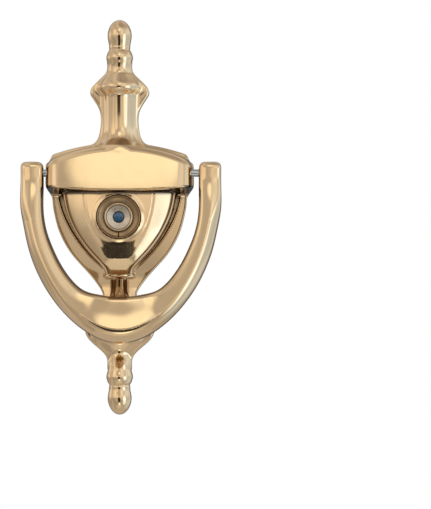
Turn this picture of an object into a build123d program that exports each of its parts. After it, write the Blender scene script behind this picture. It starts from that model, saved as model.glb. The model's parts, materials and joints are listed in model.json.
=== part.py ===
from build123d import *
import os

# Urn-pattern brass door knocker with a door viewer through its bowl.
#
# The door's face is the plane Y = 0 and the knocker stands out from it towards
# -Y. +Z is up. The origin is where the viewer's axis meets the door's face.
# A "depth" is a distance out from the door's face, so a depth of 10 is Y = -10.
# All sizes are in millimetres.

# --- Driving dimensions ------------------------------------------------------
HALF_HEIGHT = 78.6          # from the viewer's axis to either finial's tip
DOOR_THICKNESS = 44.0

# Backplate
PLATE_DEPTH = 3.0           # plain edge of the casting; the turned forms centre here
FLANGE_DEPTH = 4.2
URN_RIM_DEPTH = 5.0
BASE_DEPTH = 5.0
BAND_DEPTH = 16.5
BAND_HALF_WIDTH = 29.3
BAND_BULGE = 1.5            # how far the band's front bows out at its middle
FACET_DEPTH = 14.0          # flat shield on the bowl's front
WALL = 3.0

# Hinge
AXLE_Z = 17.4
AXLE_DEPTH = 9.0
AXLE_RADIUS = 1.5
RUNNING_CLEARANCE = 0.05
EAR_RADIUS = 4.5
EAR_INNER = 30.8            # half the distance between the ears
EAR_OUTER = 40.0
HANDLE_SIDE_PLAY = 0.8      # the handle sits this far to +X in its end float

# Handle
PAD_BACK_DEPTH = 13.0
PAD_FRONT_DEPTH = 27.0
PAD_BOTTOM = -50.2

# Grub screws that hold the axle in the ears
GRUB_X = 35.4
GRUB_RADIUS = 1.5
GRUB_END_Y = -4.9           # just inside the ear's back
GRUB_SOCKET_RADIUS = 0.8
ROD_HALF_LENGTH = 38.4

# Striking faces
STRIKE_Z = -40.0
STRIKE_DEPTH = 11.0
STRIKE_GAP = 0.05
STRIKER_RADIUS = 4.6
ANVIL_RADIUS = 4.4
ANVIL_BOSS_RADIUS = 6.5
ANVIL_BOSS_DEPTH = 8.5
RIVET_HOLE_RADIUS = 3.0
RIVET_RADIUS = 2.98
STRIKER_RIVET_DEPTH = 16.4
ANVIL_RIVET_DEPTH = 6.4

# Fixing bolts, M5
UPPER_BOLT_Z = 43.0
LOWER_BOLT_Z = STRIKE_Z
BOLT_SHANK_RADIUS = 2.5
BOLT_THREAD_RADIUS = 2.25   # the thread's mean radius
BOLT_NECK_RADIUS = 2.3
BOLT_HEAD_RADIUS = 4.6
BOLT_HEAD_HEIGHT = 3.0
BOLT_SLOT_WIDTH = 1.2
BOLT_SLOT_DEPTH = 1.4
UPPER_HOLE_DEPTH = 7.0
LOWER_HOLE_DEPTH = 5.3
HOLE_SPARE_DEPTH = 0.4      # between a bolt's end and its hole's
COUNTERBORE_RADIUS = 3.0
COUNTERBORE_DEPTH = 0.7
WASHER_RADIUS = 5.5
WASHER_BORE = 2.7
WASHER_THICKNESS = 1.0

# Door viewer
HEAD_RADIUS = 8.6
HEAD_FRONT = -FACET_DEPTH - 0.5
HEAD_BACK = -FACET_DEPTH + 1.4
HEAD_CLEARANCE = 0.15
SWELL_RADIUS = 10.5         # raised ring on the facet round the head
SWELL_HEIGHT = 0.9
BARREL_RADIUS = 7.0
BARREL_END = 30.0           # inner end of the barrel, in the door
OPTICS_BORE = 5.65
EYEPIECE_BORE = 6.05
EYEPIECE_RADIUS = 6.0
EYEPIECE_FLANGE_RADIUS = 11.0
EYEPIECE_HOLE = 4.2
FIBRE_THICKNESS = 0.6
COVER_PIVOT_Z = 8.4
COVER_RADIUS = 6.2
COVER_HOLE_RADIUS = 1.05
LENS_RADIUS = 5.5
REAR_LENS_RADIUS = 4.9
LENS_SIDE_GAP = 0.05
SPACER_RADIUS = 5.55
SPACER_BORE = 4.6


# --- Shared shapes -----------------------------------------------------------
def at_depth(depth, sketch):
    """A front-view sketch laid at a depth; extruding it goes further out."""
    return Plane.XZ.offset(depth) * sketch


def bar(radius, y_from, y_to, x=0.0, z=0.0):
    """A round bar along +Y."""
    end = Plane((x, y_from, z), x_dir=(1, 0, 0), z_dir=(0, 1, 0)) * Circle(radius)
    return extrude(end, amount=y_to - y_from)


def tube(outer, inner, y_from, y_to, x=0.0, z=0.0):
    return bar(outer, y_from, y_to, x, z) - bar(inner, y_from, y_to, x, z)


def cross_bar(radius, x_from, x_to, y, z):
    """A round bar along +X."""
    end = Plane((x_from, y, z), x_dir=(0, 1, 0), z_dir=(1, 0, 0)) * Circle(radius)
    return extrude(end, amount=x_to - x_from)


def turned(*profile):
    """A body turned about the viewer's axis, from (radius, y) points."""
    return revolve(make_face(Polyline(*profile, close=True)), Axis.Y)


def mirrored_face(right_side):
    """Close a right-hand outline that starts and ends on the centre line."""
    edges = Curve() + right_side
    return make_face(edges + mirror(edges, about=Plane.YZ))


def half_turned(right_side):
    """The front half of a form turned about the plate's upright centre line."""
    edges = Curve() + right_side
    face = at_depth(PLATE_DEPTH, make_face(edges))
    return revolve(face, Axis((0, -PLATE_DEPTH, 0), (0, 0, -1)), revolution_arc=180)


# --- Backplate ---------------------------------------------------------------
FINIAL_ROOT = (4.7, 59.0)
SHOULDER = (27.0, 24.6)     # where the flange's edge turns down into the band's end
SIDE_TOP = (BAND_HALF_WIDTH, 21.0)
SIDE_FOOT = (BAND_HALF_WIDTH, 9.5)
STEM_TOP = (6.6, -31.0)


def finial_edge(up):
    """Side of a finial, from its tip down to its root: bulb, neck, bead, neck."""
    bulb = (4.8, up * 72.4)
    crown = ThreePointArc((0, up * HALF_HEIGHT), (3.7, up * 76.6), bulb)
    turnings = Spline(bulb, (4.3, up * 68.2), (5.3, up * 63.6), (FINIAL_ROOT[0], up * FINIAL_ROOT[1]))
    return crown + turnings


def flange_edge():
    """Side of the flared flange above the band, down to the band's shoulder."""
    waist = (7.4, 38.2)
    flare = Spline(FINIAL_ROOT, (6.8, 55.4), (10.6, 51.8), (11.7, 49.3), (10.6, 47.0), (8.4, 43.6), waist)
    return flare + Spline(waist, (8.4, 33.2), (12.0, 29.6), (19.0, 27.2), SHOULDER)


def urn_edge():
    """Side of the urn's rim, from under the band down to the stem."""
    return Spline(SIDE_FOOT, (27.0, 1.8), (23.6, -7.8), (16.8, -17.4), (10.6, -24.6), STEM_TOP)


def base_edge():
    """Side of the striking base, from the stem down to the lower finial."""
    return Spline(
        STEM_TOP, (8.2, -36.0), (12.2, -40.6), (13.6, -44.6), (11.6, -49.6), (6.0, -54.8),
        (FINIAL_ROOT[0], -FINIAL_ROOT[1]),
    )


def plate_outline():
    shoulder = ThreePointArc(SHOULDER, (28.7, 23.2), SIDE_TOP)
    side = Line(SIDE_TOP, SIDE_FOOT)
    return mirrored_face(
        [finial_edge(1), flange_edge(), shoulder, side, urn_edge(), base_edge(), finial_edge(-1)]
    )


def flange_face():
    return mirrored_face([
        Line((0, FINIAL_ROOT[1]), FINIAL_ROOT),
        flange_edge(),
        Line(SHOULDER, (0, SHOULDER[1])),
    ])


def urn_face():
    return mirrored_face([
        Line((0, SIDE_FOOT[1]), SIDE_FOOT),
        urn_edge(),
        Line(STEM_TOP, (0, STEM_TOP[1])),
    ])


def urn_opening():
    """Inner edge of the urn's rim; the bowl stands inside it with a groove around."""
    return mirrored_face([
        Line((0, 9.6), (24.6, 9.6)),
        Spline((24.6, 9.6), (22.8, 1.8), (17.6, -8.0), (7.4, -19.6)),
        Line((7.4, -19.6), (0, -19.6)),
    ])


def base_face():
    return mirrored_face([
        Line((0, STEM_TOP[1]), STEM_TOP),
        base_edge(),
        Line((FINIAL_ROOT[0], -FINIAL_ROOT[1]), (0, -FINIAL_ROOT[1])),
    ])


def bowl_section(top_width, middle_width, low_width, bottom):
    """One front-view outline of the bowl, from under the band to its foot."""
    return mirrored_face([
        Line((0, 12.0), (top_width, 12.0)),
        Spline((top_width, 12.0), (middle_width, -4.6), (low_width, bottom)),
        Line((low_width, bottom), (0, bottom)),
    ])


def bowl():
    root = at_depth(PLATE_DEPTH - 1, bowl_section(22.6, 18.6, 6.0, -21.0))
    facet = at_depth(FACET_DEPTH, bowl_section(14.0, 11.2, 4.0, -16.4))
    return loft([root, facet], ruled=True)


def band_outline():
    return mirrored_face([
        ThreePointArc((0, 29.2), (15.0, 27.9), (28.2, 23.4)),
        Line((28.2, 23.4), SIDE_TOP),
        Line(SIDE_TOP, (BAND_HALF_WIDTH, 12.6)),
        ThreePointArc((BAND_HALF_WIDTH, 12.6), (15.0, 11.2), (0, 10.6)),
    ])


def band():
    """The hinge housing, bowed gently out between its lower and upper edges."""
    block = extrude(at_depth(0, band_outline()), amount=BAND_DEPTH + BAND_BULGE)
    bow = make_face(
        ThreePointArc((-BAND_DEPTH, 10.0), (-BAND_DEPTH - BAND_BULGE, 19.0), (-BAND_DEPTH, 30.0))
        + Polyline((-BAND_DEPTH, 30.0), (1.0, 30.0), (1.0, 10.0), (-BAND_DEPTH, 10.0))
    )
    return block & extrude(Plane.YZ * bow, amount=40, both=True)


def column():
    """The half-round turned column above the band, with its collar."""
    top = (3.6, 61.0)
    foot = (7.4, 28.0)
    return half_turned([
        Spline(top, (4.4, 57.6), (7.2, 54.4), (8.0, 51.8), (6.4, 47.4), (5.9, 38.0), foot),
        Polyline(foot, (0, foot[1]), (0, top[1]), top),
    ])


def finial(up):
    tip = (0, up * HALF_HEIGHT)
    root = (FINIAL_ROOT[0], up * FINIAL_ROOT[1])
    return half_turned([finial_edge(up), Line(root, (0, root[1])), Line((0, root[1]), tip)])


def stem():
    """The foot collar under the bowl and the narrow stem that it stands on."""
    collar_radius, stem_radius = 6.5, 3.5
    top, collar_foot, neck, bottom = -20.0, -24.2, -25.0, -33.0
    return half_turned([
        Polyline(
            (0, top), (collar_radius, top), (collar_radius, collar_foot), (stem_radius, neck),
            (stem_radius, bottom), (0, bottom), (0, top),
        ),
    ])


def back_pockets():
    """Hollows cored into the back, behind the band and behind the bowl."""
    band_hollow = extrude(
        at_depth(0, Pos(0, 18.0) * Rectangle(2 * (BAND_HALF_WIDTH - WALL - 0.8), 11.0)),
        amount=BAND_DEPTH - WALL,
    )
    bowl_hollow = extrude(at_depth(0, bowl_section(13.6, 10.8, 3.6, -16.0)), amount=FACET_DEPTH - WALL)
    above_bowl = extrude(at_depth(0, Pos(0, 15.0) * Rectangle(60, 12.0)), amount=FACET_DEPTH)
    viewer_boss = bar(HEAD_RADIUS + 1.4, -FACET_DEPTH, 0)
    return band_hollow + (bowl_hollow - above_bowl - viewer_boss)


def backplate():
    body = extrude(at_depth(0, plate_outline()), amount=PLATE_DEPTH)
    body += extrude(at_depth(0, flange_face()), amount=FLANGE_DEPTH)
    body += extrude(at_depth(0, urn_face()), amount=URN_RIM_DEPTH)
    body += extrude(at_depth(0, base_face()), amount=BASE_DEPTH)
    body -= extrude(at_depth(PLATE_DEPTH, urn_opening()), amount=URN_RIM_DEPTH)
    body += bowl()
    body += band()
    body += column()
    body += finial(1)
    body += finial(-1)
    body += stem()
    body += bar(ANVIL_BOSS_RADIUS, -ANVIL_BOSS_DEPTH, 0, z=STRIKE_Z)
    body += bar(SWELL_RADIUS, -FACET_DEPTH - SWELL_HEIGHT, -FACET_DEPTH)
    body -= back_pockets()
    body -= cross_bar(AXLE_RADIUS + RUNNING_CLEARANCE, -40, 40, -AXLE_DEPTH, AXLE_Z)
    body -= bar(HEAD_RADIUS + HEAD_CLEARANCE, -FACET_DEPTH - 2, HEAD_BACK)
    body -= bar(BARREL_RADIUS + HEAD_CLEARANCE, -FACET_DEPTH, 1)
    body -= bar(RIVET_HOLE_RADIUS, -ANVIL_BOSS_DEPTH, -ANVIL_RIVET_DEPTH + 0.1, z=STRIKE_Z)
    for z, hole_depth in ((UPPER_BOLT_Z, UPPER_HOLE_DEPTH), (LOWER_BOLT_Z, LOWER_HOLE_DEPTH)):
        body -= bar(BOLT_THREAD_RADIUS + 0.02, -hole_depth, 1, z=z)
        body -= bar(COUNTERBORE_RADIUS, -COUNTERBORE_DEPTH, 1, z=z)
    return body


# --- Handle and hinge --------------------------------------------------------
def handle_front_face():
    """The handle from the front: two ears, two bowed arms and the striking end."""
    outer = Spline(
        (EAR_OUTER, 9.0), (37.7, -8.2), (33.5, -19.6), (27.8, -30.3), (19.9, -39.7), (0, PAD_BOTTOM),
        tangents=[(0, -1), (-1, 0)],
    )
    inner = Spline(
        (EAR_INNER, 6.0), (30.1, -1.8), (27.4, -10.2), (21.0, -22.1), (13.6, -29.1), (0, -31.3),
        tangents=[(0, -1), (-1, 0)],
    )
    top = AXLE_Z + EAR_RADIUS
    return mirrored_face([
        inner,
        Line((EAR_INNER, 6.0), (EAR_INNER, top)),
        Line((EAR_INNER, top), (EAR_OUTER, top)),
        Line((EAR_OUTER, top), (EAR_OUTER, 9.0)),
        outer,
    ])


def handle_side_face():
    """The handle from the side, drawn in (Y, Z): the arms lean out to the pad."""
    ear_front = (-AXLE_DEPTH - 4.2, 15.4)
    ear_back = (-AXLE_DEPTH + 4.2, 15.4)
    heel = (-PAD_BACK_DEPTH, PAD_BOTTOM + 3)
    pad_top = (-PAD_BACK_DEPTH, -33.0)
    toe = (-19.0, PAD_BOTTOM - 1)
    front = Spline(
        ear_front, (-18.0, -12.0), (-PAD_FRONT_DEPTH, -36.0), (-25.0, -46.0), toe,
        tangents=[(-0.1, -1), (1, -0.4)],
    )
    back = Spline(pad_top, (-8.4, -12.0), ear_back, tangents=[(0, 1), (0.1, 1)])
    return make_face(front + Line(toe, heel) + Line(heel, pad_top) + back + Line(ear_back, ear_front))


def handle():
    front = extrude(at_depth(0, handle_front_face()), amount=40)
    side = extrude(Plane.YZ * handle_side_face(), amount=50, both=True)
    side += cross_bar(EAR_RADIUS, -50, 50, -AXLE_DEPTH, AXLE_Z)
    body = front & side
    body -= cross_bar(AXLE_RADIUS + 0.02, -38.5, 38.5, -AXLE_DEPTH, AXLE_Z)
    for x in (-GRUB_X, GRUB_X):
        body -= bar(GRUB_RADIUS + 0.02, -AXLE_DEPTH + 1, 0, x, AXLE_Z)
    rivet_end = -STRIKER_RIVET_DEPTH - 0.1
    body -= bar(RIVET_HOLE_RADIUS, rivet_end, -PAD_BACK_DEPTH + 1, -HANDLE_SIDE_PLAY, STRIKE_Z)
    return Pos(HANDLE_SIDE_PLAY, 0, 0) * body


def axle_rod():
    """Steel rod through both cheeks, ending inside the ears."""
    return Pos(HANDLE_SIDE_PLAY, 0, 0) * cross_bar(
        AXLE_RADIUS, -ROD_HALF_LENGTH, ROD_HALF_LENGTH, -AXLE_DEPTH, AXLE_Z
    )


def axle_grub_screws():
    """One in the back of each ear, pressing on the rod."""
    screws = []
    for x in (HANDLE_SIDE_PLAY - GRUB_X, HANDLE_SIDE_PLAY + GRUB_X):
        screw = bar(GRUB_RADIUS, -AXLE_DEPTH + AXLE_RADIUS, GRUB_END_Y, x, AXLE_Z)
        screw -= bar(GRUB_SOCKET_RADIUS, GRUB_END_Y - 1.1, GRUB_END_Y, x, AXLE_Z)
        screws.append(screw)
    return Compound(children=screws)


def striker_button():
    """Riveted into the back of the pad; it lands on the anvil."""
    head = bar(STRIKER_RADIUS, -PAD_BACK_DEPTH, -STRIKE_DEPTH - STRIKE_GAP, z=STRIKE_Z)
    return head + bar(RIVET_RADIUS, -STRIKER_RIVET_DEPTH, -PAD_BACK_DEPTH, z=STRIKE_Z)


def anvil_stud():
    """Riveted into the base, where the striker lands."""
    head = bar(ANVIL_RADIUS, -STRIKE_DEPTH, -ANVIL_BOSS_DEPTH, z=STRIKE_Z)
    return head + bar(RIVET_RADIUS, -ANVIL_BOSS_DEPTH, -ANVIL_RIVET_DEPTH, z=STRIKE_Z)


# --- Fixings -----------------------------------------------------------------
def fixing_bolt(z, hole_depth):
    """Slotted pan-head bolt, put in from the room side of the door."""
    under_head = DOOR_THICKNESS + WASHER_THICKNESS
    bolt = bar(BOLT_THREAD_RADIUS, -hole_depth + HOLE_SPARE_DEPTH, 1.0, z=z)
    bolt += bar(BOLT_SHANK_RADIUS, 1.0, DOOR_THICKNESS - 0.5, z=z)
    bolt += bar(BOLT_NECK_RADIUS, DOOR_THICKNESS - 0.5, under_head, z=z)
    head = bar(BOLT_HEAD_RADIUS, under_head, under_head + BOLT_HEAD_HEIGHT, z=z)
    head = fillet(head.edges().group_by(Axis.Y)[-1], 1.6)
    slot = Pos(0, under_head + BOLT_HEAD_HEIGHT, z) * Box(12, 2 * BOLT_SLOT_DEPTH, BOLT_SLOT_WIDTH)
    return bolt + head - slot


def fixing_bolts():
    return Compound(children=[
        fixing_bolt(UPPER_BOLT_Z, UPPER_HOLE_DEPTH), fixing_bolt(LOWER_BOLT_Z, LOWER_HOLE_DEPTH),
    ])


def bolt_washers():
    end = DOOR_THICKNESS + WASHER_THICKNESS
    return Compound(children=[
        tube(WASHER_RADIUS, WASHER_BORE, DOOR_THICKNESS, end, z=z) for z in (UPPER_BOLT_Z, LOWER_BOLT_Z)
    ])


# --- Door viewer -------------------------------------------------------------
OPTICS_SHOULDER = 4.0


def viewer_barrel():
    """Flanged outer tube; its dished head sits in the bowl's counterbore."""
    return turned(
        (5.7, HEAD_FRONT + 0.9), (8.0, HEAD_FRONT + 0.3), (8.2, HEAD_FRONT),
        (HEAD_RADIUS, HEAD_FRONT + 0.3), (HEAD_RADIUS, HEAD_BACK), (6.8, HEAD_BACK), (6.8, 0.5),
        (BARREL_RADIUS, 0.5), (BARREL_RADIUS, BARREL_END),
        (EYEPIECE_BORE, BARREL_END), (EYEPIECE_BORE, OPTICS_SHOULDER + 1.5),
        (4.8, OPTICS_SHOULDER + 1.5), (4.8, OPTICS_SHOULDER), (OPTICS_BORE, OPTICS_SHOULDER),
        (OPTICS_BORE, HEAD_FRONT + 2.0), (5.7, HEAD_FRONT + 2.0),
    )


def viewer_bezel():
    """Bright ring that screws into the head and holds the optics in."""
    return turned(
        (4.8, HEAD_FRONT + 0.1), (5.1, HEAD_FRONT - 0.3), (5.4, HEAD_FRONT - 0.3), (5.65, HEAD_FRONT),
        (5.65, HEAD_FRONT + 2.0), (4.8, HEAD_FRONT + 2.0),
    )


def viewer_cone():
    """Stepped grey funnel that leads the eye in to the sight hole."""
    steps = 4
    slope = [(4.75, HEAD_FRONT + 0.4)]
    for step in range(1, steps + 1):
        radius = 4.75 - 2.5 * step / steps
        y = HEAD_FRONT + 0.4 + 1.6 * step / steps
        slope.append((radius, y - 0.25))
        slope.append((radius, y))
    back = HEAD_FRONT + 2.4
    return turned(*slope, (2.25, back), (5.6, back), (5.6, HEAD_FRONT + 2.05), (4.75, HEAD_FRONT + 2.05))


def lens(radius, y_from, thickness, front_bulge, back_bulge):
    """A glass disc; a bulge is how far a face's centre stands out past its edge."""
    y_to = y_from + thickness
    front_lean = 2.2 * front_bulge / radius
    back_lean = 2.2 * back_bulge / radius
    edges = [
        Line((0, y_from - front_bulge), (0, y_to + back_bulge)),
        Spline((0, y_to + back_bulge), (radius, y_to), tangents=[(1, 0), (1, -back_lean)]),
        Line((radius, y_to), (radius, y_from)),
        Spline((radius, y_from), (0, y_from - front_bulge), tangents=[(-1, -front_lean), (-1, 0)]),
    ]
    return revolve(make_face(Curve() + edges), Axis.Y)


FRONT_LENS_Y = HEAD_FRONT + 3.45
FRONT_LENS_THICKNESS = 1.6
MIDDLE_LENS_Y = -2.0
MIDDLE_LENS_THICKNESS = 2.0
REAR_LENS_Y = DOOR_THICKNESS - 2.6
REAR_LENS_THICKNESS = 2.0


def front_lens():
    """Behind the cone; its dome fills the sight hole."""
    return lens(LENS_RADIUS, FRONT_LENS_Y, FRONT_LENS_THICKNESS, 1.0, -0.6)


def middle_lens():
    return lens(LENS_RADIUS, MIDDLE_LENS_Y, MIDDLE_LENS_THICKNESS, -0.5, -0.5)


def rear_lens():
    return lens(REAR_LENS_RADIUS, REAR_LENS_Y, REAR_LENS_THICKNESS, 0.6, 0.6)


def front_spacer():
    front = FRONT_LENS_Y + FRONT_LENS_THICKNESS + LENS_SIDE_GAP
    return tube(SPACER_RADIUS, SPACER_BORE, front, MIDDLE_LENS_Y - LENS_SIDE_GAP)


def middle_spacer():
    front = MIDDLE_LENS_Y + MIDDLE_LENS_THICKNESS + LENS_SIDE_GAP
    return tube(SPACER_RADIUS, SPACER_BORE, front, OPTICS_SHOULDER - LENS_SIDE_GAP)


def rear_lens_ring():
    """Screwed into the eyepiece tube to hold its lens."""
    return tube(4.95, 4.0, REAR_LENS_Y - 4.0, REAR_LENS_Y - 0.3)


FLANGE_FRONT = DOOR_THICKNESS + FIBRE_THICKNESS
FLANGE_BACK = FLANGE_FRONT + 2.0
COIN_SLOT_X = 8.6
RIVET_SHANK_RADIUS = 1.0


def viewer_eyepiece():
    """Inner tube and coin-slotted flange, screwed into the barrel from the room."""
    body = turned(
        (5.0, 8.0), (EYEPIECE_RADIUS, 8.0), (EYEPIECE_RADIUS, FLANGE_FRONT),
        (EYEPIECE_FLANGE_RADIUS, FLANGE_FRONT), (EYEPIECE_FLANGE_RADIUS, FLANGE_BACK - 0.8),
        (EYEPIECE_FLANGE_RADIUS - 0.8, FLANGE_BACK), (EYEPIECE_HOLE, FLANGE_BACK),
        (EYEPIECE_HOLE, DOOR_THICKNESS + 0.1), (5.0, DOOR_THICKNESS + 0.1),
    )
    for side in (-1, 1):
        body -= Pos(side * COIN_SLOT_X, FLANGE_BACK, -2.0) * Box(4.0, 1.6, 1.6)
    return body - bar(RIVET_SHANK_RADIUS, FLANGE_FRONT + 0.3, FLANGE_BACK + 1, z=COVER_PIVOT_Z)


def eyepiece_washer():
    return tube(9.8, 7.2, DOOR_THICKNESS, FLANGE_FRONT)


COVER_FRONT = FLANGE_BACK + 0.35
COVER_BACK = COVER_FRONT + 1.0


def cover_spring_washer():
    """Thin washer between the flange and the flap."""
    return tube(2.1, COVER_HOLE_RADIUS, FLANGE_BACK, FLANGE_BACK + 0.3, z=COVER_PIVOT_Z)


def viewer_cover():
    """Privacy flap that hangs over the eyepiece's hole and swings aside."""
    hanger_radius = 2.5
    hanger = Pos(0, COVER_PIVOT_Z / 2) * Rectangle(2 * hanger_radius, COVER_PIVOT_Z)
    outline = Circle(COVER_RADIUS) + hanger + Pos(0, COVER_PIVOT_Z) * Circle(hanger_radius)
    flap = extrude(at_depth(-COVER_BACK, outline), amount=COVER_BACK - COVER_FRONT)
    tab = bar(1.4, COVER_BACK, COVER_BACK + 1.2, z=-COVER_RADIUS + 2.0)
    return flap + tab - bar(COVER_HOLE_RADIUS, COVER_FRONT - 1, COVER_BACK + 1, z=COVER_PIVOT_Z)


def cover_rivet():
    under_head = COVER_BACK + 0.05
    shank = bar(RIVET_SHANK_RADIUS - 0.01, FLANGE_FRONT + 0.4, under_head, z=COVER_PIVOT_Z)
    return shank + bar(1.9, under_head, under_head + 0.8, z=COVER_PIVOT_Z)


# --- Write every piece -------------------------------------------------------
PIECES = {
    "backplate": backplate,
    "anvil_stud": anvil_stud,
    "handle": handle,
    "axle_rod": axle_rod,
    "axle_grub_screws": axle_grub_screws,
    "striker_button": striker_button,
    "fixing_bolts": fixing_bolts,
    "bolt_washers": bolt_washers,
    "viewer_barrel": viewer_barrel,
    "viewer_bezel": viewer_bezel,
    "viewer_cone": viewer_cone,
    "front_lens": front_lens,
    "front_spacer": front_spacer,
    "middle_lens": middle_lens,
    "middle_spacer": middle_spacer,
    "rear_lens": rear_lens,
    "rear_lens_ring": rear_lens_ring,
    "viewer_eyepiece": viewer_eyepiece,
    "eyepiece_washer": eyepiece_washer,
    "cover_spring_washer": cover_spring_washer,
    "viewer_cover": viewer_cover,
    "cover_rivet": cover_rivet,
}

os.makedirs("parts", exist_ok=True)
for name, make in PIECES.items():
    export_step(make(), f"parts/{name}.step")
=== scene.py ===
import json
import math

import bmesh
import bpy
import numpy as np
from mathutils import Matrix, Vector


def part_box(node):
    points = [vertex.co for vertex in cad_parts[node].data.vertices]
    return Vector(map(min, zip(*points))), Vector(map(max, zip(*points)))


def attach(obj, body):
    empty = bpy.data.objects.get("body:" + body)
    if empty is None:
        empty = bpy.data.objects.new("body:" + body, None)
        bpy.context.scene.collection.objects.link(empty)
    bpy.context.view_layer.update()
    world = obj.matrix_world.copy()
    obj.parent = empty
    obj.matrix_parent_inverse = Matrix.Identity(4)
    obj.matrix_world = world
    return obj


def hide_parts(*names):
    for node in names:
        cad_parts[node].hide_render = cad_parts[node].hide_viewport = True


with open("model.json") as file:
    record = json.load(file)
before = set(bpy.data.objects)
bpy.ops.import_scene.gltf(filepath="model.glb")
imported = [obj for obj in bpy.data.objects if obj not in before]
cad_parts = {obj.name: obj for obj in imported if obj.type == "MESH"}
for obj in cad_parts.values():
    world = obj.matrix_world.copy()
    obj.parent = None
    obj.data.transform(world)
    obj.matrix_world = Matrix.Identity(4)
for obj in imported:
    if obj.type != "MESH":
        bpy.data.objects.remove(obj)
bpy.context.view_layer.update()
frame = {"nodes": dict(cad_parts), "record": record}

# Shapes are worked out in millimetres, in the frame's axes, and scaled to metres
# when a mesh is made. "Depth" is the distance out from the door, -Y.
MM = 0.001


def cad(node):
    """A CAD node's corners in millimetres."""
    low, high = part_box(node)
    return low / MM, high / MM


# --- Frame sizes --------------------------------------------------------------
PLATE = cad("backplate")
HANDLE = cad("handle")
ROD = cad("axle_rod")
BARREL = cad("viewer_barrel")
ANVIL = cad("anvil_stud")
STRIKER = cad("striker_button")
BOLTS = cad("fixing_bolts")
WASHERS = cad("bolt_washers")
EYEPIECE = cad("viewer_eyepiece")
COVER = cad("viewer_cover")
TIP = PLATE[1].z
AXLE_DEPTH = -(ROD[0].y + ROD[1].y) / 2
AXLE_Z = (ROD[0].z + ROD[1].z) / 2
AXLE_RADIUS = (ROD[1].z - ROD[0].z) / 2
HANDLE_X = (HANDLE[0].x + HANDLE[1].x) / 2
HEAD_RADIUS = (BARREL[1].x - BARREL[0].x) / 2
ANVIL_Z = (ANVIL[0].z + ANVIL[1].z) / 2
BOLT_HEAD_RADIUS = 4.6
UPPER_BOLT_Z = BOLTS[1].z - BOLT_HEAD_RADIUS
HEAD_FRONT, BARREL_END = BARREL[0].y, BARREL[1].y
FLANGE_RADIUS = EYEPIECE[1].x
FLANGE_BACK = EYEPIECE[1].y
FLANGE_FRONT = FLANGE_BACK - 2.0
DOOR_BACK, WASHER_BACK = WASHERS[0].y, WASHERS[1].y
PIVOT_RADIUS = 2.5          # of the flap's eye, at the top of the flap
PIVOT_Z = COVER[1].z - PIVOT_RADIUS
TURNING_DEPTH = 3.0         # depth of the axis of the half-round turned forms


# --- Fields: negative inside, about a distance in millimetres -------------------
def soft_max(a, b, k):
    """Intersection of two fields, its edge rounded over k."""
    h = np.maximum(k - np.abs(a - b), 0)
    return np.maximum(a, b) + h * h / (4 * k)


def soft_min(a, b, k):
    """Union of two fields, its inner corner filled over k."""
    return -soft_max(-a, -b, k)


def smooth_curve(*points):
    """Natural cubic spline through (position, value) points, as a function."""
    at, value = np.array(sorted(points), float).T
    gap = np.diff(at)
    count = len(at)
    matrix = np.eye(count)
    right = np.zeros(count)
    for i in range(1, count - 1):
        matrix[i, i - 1:i + 2] = gap[i - 1], 2 * (gap[i - 1] + gap[i]), gap[i]
        right[i] = 6 * ((value[i + 1] - value[i]) / gap[i] - (value[i] - value[i - 1]) / gap[i - 1])
    bend = np.linalg.solve(matrix, right)

    def curve(t):
        t = np.clip(t, at[0], at[-1])
        i = np.clip(np.searchsorted(at, t) - 1, 0, count - 2)
        ahead, behind, h = at[i + 1] - t, t - at[i], gap[i]
        return (
            (bend[i] * ahead ** 3 + bend[i + 1] * behind ** 3) / (6 * h)
            + (value[i] / h - bend[i] * h / 6) * ahead
            + (value[i + 1] / h - bend[i + 1] * h / 6) * behind
        )

    return curve


def even_curve(*points):
    """A smooth curve that is the same on both sides of zero."""
    return smooth_curve(*points, *[(-t, v) for t, v in points if t > 0])


def beside(across, width, at):
    """Distance outside a form whose half-width is a curve of position."""
    step = 0.05
    slope = (width(at + step) - width(at - step)) / (2 * step)
    return (across - width(at)) / np.sqrt(1 + slope * slope)


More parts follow.
